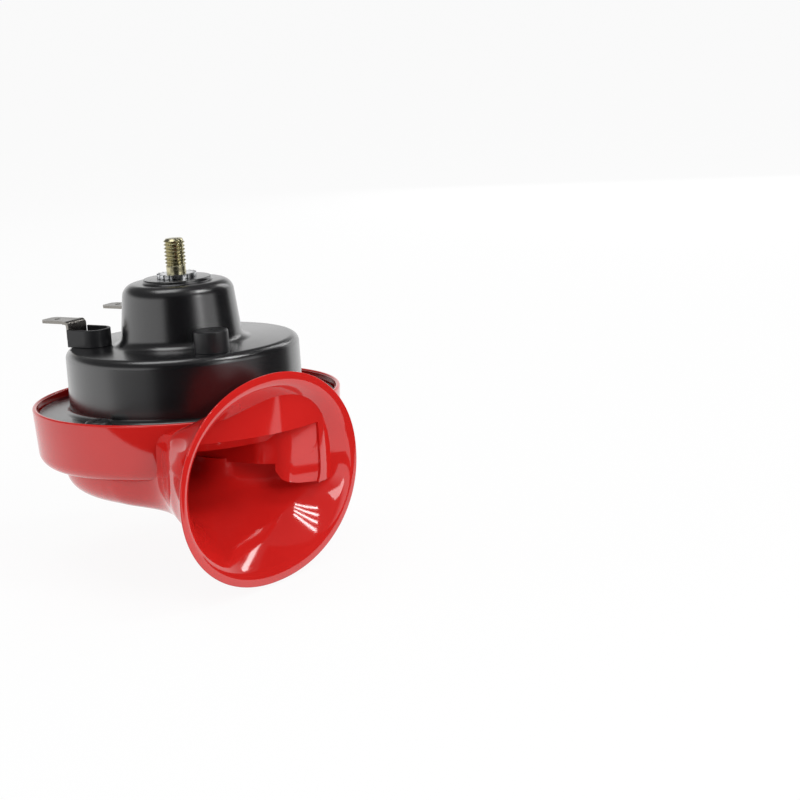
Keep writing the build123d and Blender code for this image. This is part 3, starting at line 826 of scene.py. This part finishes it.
def threaded_stud():
    """Rings from the pole to the tip. On the thread their radius is the crest less a trapezoid wave of height
    over pitch minus the share of a turn, faded in from the shank and limited by the chamfer."""
    below = np.array(
        [
            (0, pole_bottom),
            (pole_radius, pole_bottom),
            (pole_radius, pole_top),
            (neck_radius, pole_top),
            (neck_radius, 0.0),
        ]
    )
    height = np.linspace(shank_foot, stud_top, thread_rows)
    angle = np.linspace(0, 2 * np.pi, thread_columns, endpoint=False)[:, None]
    phase = (height[None, :] / thread_pitch - angle / (2 * np.pi)) % 1
    groove = np.clip(np.abs(2 * phase - 1) * thread_slope - thread_crest, 0, 1)
    cut_in = np.clip((height - thread_start) / thread_run, 0, 1)
    limit = stud_radius - np.clip(height - (stud_top - stud_chamfer), 0, None)
    threaded = np.minimum(shank_radius + (stud_radius - thread_depth * groove - shank_radius) * cut_in, limit)
    plain = np.broadcast_to(below[:, 0], (thread_columns, len(below)))
    radius = np.hstack([plain, threaded, np.zeros((thread_columns, 1))])
    level = np.broadcast_to(np.concatenate([below[:, 1], height, [stud_top]]), radius.shape)
    points = np.stack([radius * np.cos(angle), radius * np.sin(angle), level], -1)
    return piece("threaded_stud", points, grid_faces(*radius.shape, ring_rows=True))


yellow_zinc = finish(
    "yellow_zinc",
    low=(0.48, 0.44, 0.27),
    high=(0.70, 0.65, 0.44),
    roughness=(0.22, 0.32),
    patch=1.6,
    grain=0.3,
    bump=0.003,
    metallic=1.0,
)
finish_piece(threaded_stud(), "mounting_stud", yellow_zinc, sharp=stud_sharp_angle)

# Lock washer: a ring of hardened steel with twisted teeth round its edge, stamped and bright zinc plated. It
# lies on the boss, under the bracket.
washer_radius = 5.5
washer_bore = 2.75
washer_sheet = 1.1
washer_teeth = 20
washer_rows = 8
tooth_root = 4.8
tooth_columns = 20
tooth_half = 0.41
tooth_flank = 0.05
tooth_twist = 0.08
twist_half = 0.36
twist_run_in = 0.3


def toothed_washer():
    """A flat ring whose outer radius steps between root and tip once a tooth. Towards the tip each tooth is
    turned about its own middle, by a lift in step with the phase across it."""
    columns = washer_teeth * tooth_columns
    angle = np.linspace(0, 2 * np.pi, columns, endpoint=False)[:, None]
    phase = (angle * washer_teeth / (2 * np.pi)) % 1
    tooth = np.clip((tooth_half - np.abs(phase - 0.5)) / tooth_flank, 0, 1)
    rim = tooth_root + (washer_radius - tooth_root) * tooth
    out = np.concatenate([np.linspace(0, 1, washer_rows), np.linspace(1, 0, washer_rows)])[None, :]
    face = np.concatenate([np.full(washer_rows, 0.5), np.full(washer_rows, -0.5)])[None, :]
    reach = washer_bore + (rim - washer_bore) * out
    tipwards = np.clip((reach - tooth_root + twist_run_in) / (washer_radius - tooth_root), 0, 1)
    twist = tooth_twist * (phase - 0.5) / twist_half * tipwards
    level = z_boss / 2 + face * washer_sheet + twist * tooth
    points = np.stack([reach * np.cos(angle), reach * np.sin(angle), level], -1)
    return piece("toothed_washer", points, grid_faces(*level.shape, ring_rows=True, ring_columns=True))


bright_zinc = finish(
    "bright_zinc",
    low=(0.62, 0.63, 0.65),
    high=(0.82, 0.83, 0.84),
    roughness=(0.16, 0.30),
    patch=1.5,
    grain=0.25,
    bump=0.003,
    metallic=1.0,
)
finish_piece(toothed_washer(), "lock_washer", bright_zinc)

# Flange screws: four pan-head screws with a cross recess, of blackened steel. They are driven through the
# flange at quarter turns into pilot holes in the pan.
head_radius = 3.6
head_height = 2.1
head_edge = 0.15
head_round = 1.2
point_radius = 0.6
point_length = 2.0
screw_columns = 64
recess_depth = 1.2
recess_arm = 2.0
recess_slot = 0.8
recess_narrow = 0.55
recess_wide = 1.05
recess_over = 0.1


def flange_screw(turn):
    """A turned screw at its place on the flange, less two crossed bars that narrow towards their floor."""
    x, y = screw_circle * np.cos(turn), screw_circle * np.sin(turn)
    profile = filleted(
        [
            (0, z_seat - screw_depth, 0),
            (point_radius, z_seat - screw_depth, 0),
            (screw_radius, z_seat - screw_depth + point_length, 0),
            (screw_radius, z_flange, 0),
            (head_radius, z_flange, head_edge),
            (head_radius, z_flange + head_height, head_round),
            (0, z_flange + head_height, 0),
        ]
    )
    screw = turned("flange_screw", profile, screw_columns, x, y)
    for wide, deep in ((recess_arm, recess_slot / 2), (recess_slot / 2, recess_arm)):
        plan = np.array([(-wide, -deep), (wide, -deep), (wide, deep), (-wide, deep)])
        ends = ((recess_narrow, -recess_depth), (recess_wide, recess_over))
        bar = np.stack([at_height(plan * scale + (x, y), z) for scale, z in ends])
        bar[..., 2] += z_flange + head_height
        combine(screw, "DIFFERENCE", stacked("recess", bar))
    return screw


black_screw = finish(
    "black_screw",
    low=(0.012, 0.012, 0.013),
    high=(0.022, 0.022, 0.024),
    roughness=(0.26, 0.38),
    patch=2,
    grain=0.3,
    bump=0.003,
)
screws = [flange_screw(turn) for turn in screw_turns]
flange_screws = combine(screws[0], "UNION", *screws[1:])
flange_screws.name = "cross_recess_screws"
finish_piece(flange_screws, "flange_screws", black_screw)

# Blade terminals: two strips of tinned brass, pressed out and bent up to a push-on tab with a detent hole. A
# rivet holds each one at its round end.
strip = 0.8
strip_low = z_drum + 0.8
strip_rise = 5.4
strip_bend = 1.0
base_half = 3.6
shoulder_half = 3.8
shoulder_length = 1.4
tab_half = 3.15
tab_length = 10.5
tip_chamfer = 1.2
riser_offset = 6.8
width_step = 0.05
past_bend = 0.2
end_steps = 16
end_flat = 0.06
bend_steps = 9
hole_radius = 0.85
hole_setback = 4.1
hole_over = 2.0
rivet_radius = 1.6


def blade(name, side):
    """The strip's middle line, bent twice with round corners, carries a flat bar whose half width follows the
    outline: a half round end, a base, a shoulder and a tab with a chamfered tip."""
    riser = terminal_row + riser_offset
    start, foot, tip = terminal_row - base_half, riser - strip / 2, riser + tab_length
    low, high = strip_low + strip / 2, strip_low + strip_rise + strip / 2
    arc = np.linspace(0, np.pi / 2, bend_steps)
    y = np.concatenate(
        [
            start + base_half * (1 - np.cos(np.linspace(0, np.pi / 2, end_steps))),
            [riser - 2 * strip - width_step, riser - 2 * strip],
            foot - strip_bend + strip_bend * np.sin(arc),
            foot + strip_bend - strip_bend * np.cos(arc),
            [foot + strip_bend + past_bend, riser + shoulder_length, riser + shoulder_length + width_step],
            [tip - tip_chamfer, tip],
        ]
    )
    z = np.concatenate(
        [
            np.full(end_steps + 2, low),
            low + strip_bend - strip_bend * np.cos(arc),
            high - strip_bend + strip_bend * np.sin(arc),
            np.full(5, high),
        ]
    )
    half = np.concatenate(
        [
            base_half * np.sin(np.linspace(end_flat, np.pi / 2, end_steps)),
            [base_half, shoulder_half],
            np.full(2 * bend_steps + 2, shoulder_half),
            [tab_half, tab_half, tab_half - tip_chamfer],
        ]
    )
    along = np.gradient(np.stack([y, z], -1), axis=0)
    along /= np.linalg.norm(along, axis=1, keepdims=True)
    normal = np.stack([-along[:, 1], along[:, 0]], -1)
    edge = np.array([(-1, -0.5), (1, -0.5), (1, 0.5), (-1, 0.5)])
    x = side * terminal_spread + half[:, None] * edge[:, 0]
    lift = strip * edge[:, 1]
    points = np.stack([x, y[:, None] + normal[:, :1] * lift, z[:, None] + normal[:, 1:] * lift], -1)
    bar = stacked(name, points)
    for radius, level, row in ((rivet_radius, low, terminal_row), (hole_radius, high, tip - hole_setback)):
        eye = rod("eye", radius, level - hole_over, level + hole_over, side * terminal_spread, row)
        combine(bar, "DIFFERENCE", eye)
    return bar


tinned_blade = finish(
    "tinned_blade",
    low=(0.25, 0.236, 0.215),
    high=(0.37, 0.352, 0.325),
    roughness=(0.22, 0.34),
    patch=2.5,
    grain=0.4,
    bump=0.003,
    metallic=1.0,
    stretch=(1, 0.25, 1),
)
finish_piece(blade("blade_left", -1), "blade_terminal_left", tinned_blade)
finish_piece(blade("blade_right", 1), "blade_terminal_right", tinned_blade)

# Terminal rivets: two rivets of bright zinc plated steel. Each is headed over its blade outside the drum and
# over the strips inside it.
rivet_head_radius = 2.95
z_rivet_head = z_drum + 1.6
rivet_head_height = 1.7
rivet_head_round = 0.7
rivet_edge = 0.1
z_rivet_tail = -25.1
rivet_tail_radius = 2.6
rivet_tail_height = 0.8
rivet_tail_round = 0.4
rivet_columns = 64

rivet_profile = filleted(
    [
        (0, z_rivet_tail - rivet_tail_height, 0),
        (rivet_tail_radius, z_rivet_tail - rivet_tail_height, rivet_tail_round),
        (rivet_tail_radius, z_rivet_tail, rivet_edge),
        (rivet_radius, z_rivet_tail, 0),
        (rivet_radius, z_rivet_head, 0),
        (rivet_head_radius, z_rivet_head, rivet_edge),
        (rivet_head_radius, z_rivet_head + rivet_head_height, rivet_head_round),
        (0, z_rivet_head + rivet_head_height, 0),
    ]
)
rivets = [
    turned("terminal_rivet", rivet_profile, rivet_columns, side * terminal_spread, terminal_row)
    for side in (-1, 1)
]
terminal_rivets = combine(rivets[0], "UNION", rivets[1])
terminal_rivets.name = "headed_rivets"
finish_piece(terminal_rivets, "terminal_rivets", bright_zinc)

# Adjuster plug: a round cap of matt black plastic with the dimple of its gate, moulded in one piece and
# pressed over the adjusting screw.
plug_radius = 4.7
plug_height = 6.0
plug_edge = 0.15
plug_round = 0.6
plug_bore = 2.4
plug_inside = 3.8
plug_columns = 96
dimple_radius = 0.9
dimple_round = 0.2
dimple_depth = 0.4

black_plastic = finish(
    "black_plastic",
    low=(0.012, 0.012, 0.013),
    high=(0.018, 0.018, 0.020),
    roughness=(0.30, 0.36),
    patch=4,
    grain=0.6,
    bump=0.002,
)
cap_profile = filleted(
    [
        (plug_bore, z_drum, 0),
        (plug_radius, z_drum, plug_edge),
        (plug_radius, z_drum + plug_height, plug_round),
        (dimple_radius, z_drum + plug_height, dimple_round),
        (0, z_drum + plug_height - dimple_depth, 0),
        (0, z_drum + plug_inside, 0),
        (plug_bore, z_drum + plug_inside, 0),
    ]
)
plug = turned("adjuster_cap", cap_profile, plug_columns, adjuster_x, adjuster_y)
finish_piece(plug, "adjuster_plug", black_plastic)

# Terminal insulators and bushes: black moulded plastic. Each insulator is a horseshoe cup that stands its
# blade off the drum, with a spigot through the sheet.
cup_bevel = 0.2
cup_bevel_angle = 40
cup_bevel_steps = 2
flat_angle = 1


def node_copy(name, node):
    """A new piece with a CAD node's own mesh, copied and not yet merged."""
    copy = bpy.data.objects.new(name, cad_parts[node].data.copy())
    bpy.context.collection.objects.link(copy)
    return copy


def dress(material, *nodes):
    """Gives CAD pieces, whose shape is right as it is, their material."""
    for node in nodes:
        cover(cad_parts[node].data, material)


for node, name in (("terminal_insulator_left", "cup_left"), ("terminal_insulator_right", "cup_right")):
    cup = node_copy(name, node)
    work = bmesh.new()
    work.from_mesh(cup.data)
    bmesh.ops.remove_doubles(work, verts=work.verts, dist=weld)
    bmesh.ops.dissolve_limit(work, angle_limit=np.radians(flat_angle), verts=work.verts, edges=work.edges)
    work.to_mesh(cup.data)
    work.free()
    soften = cup.modifiers.new("soft_edges", "BEVEL")
    soften.width = cup_bevel * mm
    soften.segments = cup_bevel_steps
    soften.limit_method = "ANGLE"
    soften.angle_limit = np.radians(cup_bevel_angle)
    finish_piece(cup, node, black_plastic)
dress(black_plastic, "terminal_spacers")

# Diaphragm stack: a spring-steel disc with a rolled rib, gripped at its edge between two fibre gaskets. It
# bends with the armature in its middle, so it is built as eight equal sectors.
z_diaphragm = -37.9
disc_sheet = 0.4
disc_radius = 35.6
disc_bore = 2.6
disc_rows = 66
grip_radius = 33.2
rib_radius = 23.985
rib_width = 5.0
rib_height = 0.7
hub_radius_kept = 9.3
sectors = 8
sector_columns = 13


def bending(obj, node, slot, material, start, end):
    """Smooths a springy piece, gives it its material, bakes its place into its mesh and hides its CAD node.
    Its start and end, in mm, are not used.
    """
    obj.data.shade_smooth()
    obj.data.set_sharp_from_angle(angle=np.radians(sharp_angle))
    cover(obj.data, material)
    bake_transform(obj)
    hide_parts(node)


def disc_sector(name, first, last):
    """The disc's profile, a flat sheet with a triangular dip for the rib, carried round between two angles."""
    radius = np.linspace(disc_bore, disc_radius, disc_rows)
    dip = rib_height * np.clip(1 - np.abs(radius - rib_radius) / (rib_width / 2), 0, 1)
    profile = np.r_[np.c_[radius, z_diaphragm - dip], np.c_[radius, z_diaphragm - dip - disc_sheet][::-1]]
    angle = np.linspace(first, last, sector_columns)[:, None]
    reach, level = profile[None, :, 0], profile[None, :, 1] + 0 * angle
    return stacked(name, np.stack([reach * np.cos(angle), reach * np.sin(angle), level], -1))


spring_steel = finish(
    "spring_steel",
    low=(0.48, 0.49, 0.51),
    high=(0.58, 0.59, 0.61),
    roughness=(0.24, 0.36),
    patch=6,
    grain=0.4,
    bump=0.002,
    metallic=1.0,
)
gasket_fibre = finish(
    "gasket_fibre",
    low=(0.26, 0.16, 0.09),
    high=(0.36, 0.23, 0.14),
    roughness=(0.7, 0.85),
    patch=3,
    grain=0.3,
    bump=0.02,
)
half_turn = np.pi / sectors
for sector in range(sectors):
    middle = 2 * half_turn * sector
    part = disc_sector(f"diaphragm_{sector + 1}", middle - half_turn, middle + half_turn)
    outwards = np.array([np.cos(middle), np.sin(middle), 0])
    gripped = grip_radius * np.cos(half_turn) * outwards
    bending(part, "diaphragm", "spring_steel", spring_steel, gripped, hub_radius_kept * outwards)
dress(gasket_fibre, "gasket_upper", "gasket_lower")

# Coil: enamelled copper wire, wound on a moulded bobbin of pale nylon round the pole. A steel ring under the
# bobbin holds it up in the dome.
pale_nylon = finish(
    "pale_nylon",
    low=(0.74, 0.70, 0.60),
    high=(0.82, 0.79, 0.70),
    roughness=(0.4, 0.5),
    patch=4,
    grain=0.4,
    bump=0.006,
)
copper_wire = finish(
    "copper_wire",
    low=(0.50, 0.18, 0.08),
    high=(0.68, 0.30, 0.14),
    roughness=(0.2, 0.3),
    patch=0.9,
    grain=0.45,
    bump=0.08,
    metallic=1.0,
    stretch=(0.05, 0.05, 1),
)
plain_steel = finish(
    "plain_steel",
    low=(0.44, 0.44, 0.44),
    high=(0.54, 0.54, 0.53),
    roughness=(0.26, 0.4),
    patch=3,
    grain=0.3,
    bump=0.003,
    metallic=1.0,
)
dress(pale_nylon, "coil_bobbin")
dress(copper_wire, "coil_winding")
dress(plain_steel, "coil_retainer")

# Armature: a turned iron plunger on the diaphragm, clamped by a washer and a zinc-plated nut, with a nylon
# collar that lifts the contact spring.
dress(plain_steel, "armature", "clamp_washer")
dress(bright_zinc, "armature_nut")
dress(pale_nylon, "armature_collar")

# Contact breaker and adjuster: a brass arm and a steel spring with tungsten points, riveted up with fibre
# plates on a bracket under the drum's top, and the slotted screw that sets them. The spring's mesh is cut
# across at its tongue, where the real spring bends.
tongue_start = -11.2
tongue_lifted = -7.4
tongue_cuts = 12

brass_strip = finish(
    "brass_strip",
    low=(0.66, 0.48, 0.20),
    high=(0.78, 0.60, 0.28),
    roughness=(0.22, 0.34),
    patch=3,
    grain=0.3,
    bump=0.002,
    metallic=1.0,
    stretch=(1, 0.2, 1),
)
tungsten = finish(
    "tungsten",
    low=(0.34, 0.34, 0.36),
    high=(0.44, 0.44, 0.46),
    roughness=(0.3, 0.42),
    patch=1,
    grain=0.2,
    bump=0.002,
    metallic=1.0,
)
leaf = node_copy("contact_spring", "moving_contact_spring")
work = bmesh.new()
work.from_mesh(leaf.data)
bmesh.ops.remove_doubles(work, verts=work.verts, dist=weld)
for x in np.linspace(tongue_start, tongue_lifted, tongue_cuts):
    everything = work.verts[:] + work.edges[:] + work.faces[:]
    bmesh.ops.bisect_plane(work, geom=everything, plane_co=(x * mm, 0, 0), plane_no=(1, 0, 0))
work.to_mesh(leaf.data)
work.free()
tongue_ends = (tongue_start, 0, 0), (tongue_lifted, 0, 0)
bending(leaf, "moving_contact_spring", "spring_steel", spring_steel, *tongue_ends)
dress(brass_strip, "fixed_contact_arm", "coil_tag")
dress(tungsten, "fixed_contact_point", "moving_contact_point")
dress(gasket_fibre, "breaker_insulators")
dress(plain_steel, "breaker_bracket", "breaker_rivets", "adjuster_nut")
dress(bright_zinc, "adjusting_screw")

bpy.context.view_layer.update()
